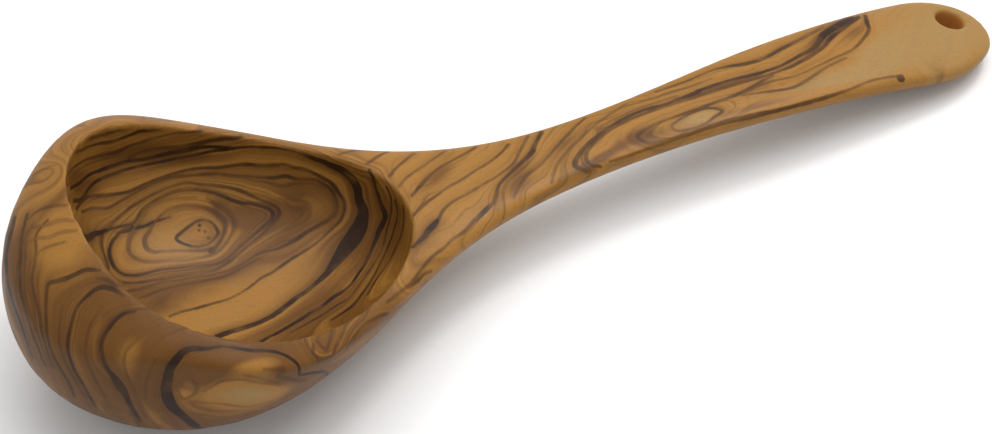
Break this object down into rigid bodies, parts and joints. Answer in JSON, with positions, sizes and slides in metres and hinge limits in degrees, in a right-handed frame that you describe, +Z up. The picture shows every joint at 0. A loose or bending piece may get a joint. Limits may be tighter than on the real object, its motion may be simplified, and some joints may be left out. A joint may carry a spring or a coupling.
{
  "type": "wooden ladle",
  "caption": "Hand-carved olive-wood ladle: deep pear-mouthed bowl with a swept rim, running into an arched flat-topped handle with a hanging hole, for serving soup or stew.",
  "frame": {"origin": "middle of the footprint, on the table the ladle lies on", "axes": "+Z up, +X along the ladle toward the end of the handle, Y across the bowl; the ladle lies on the bowl's belly and the underside of the handle's end"},
  "size_m": [0.3002, 0.1012, 0.0579],
  "materials": {
    "olive_wood": "hand-sanded and oiled to a soft satin"
  },
  "bodies": {
    "root": {"ladle": "olive_wood"}
  },
  "joints": []
}
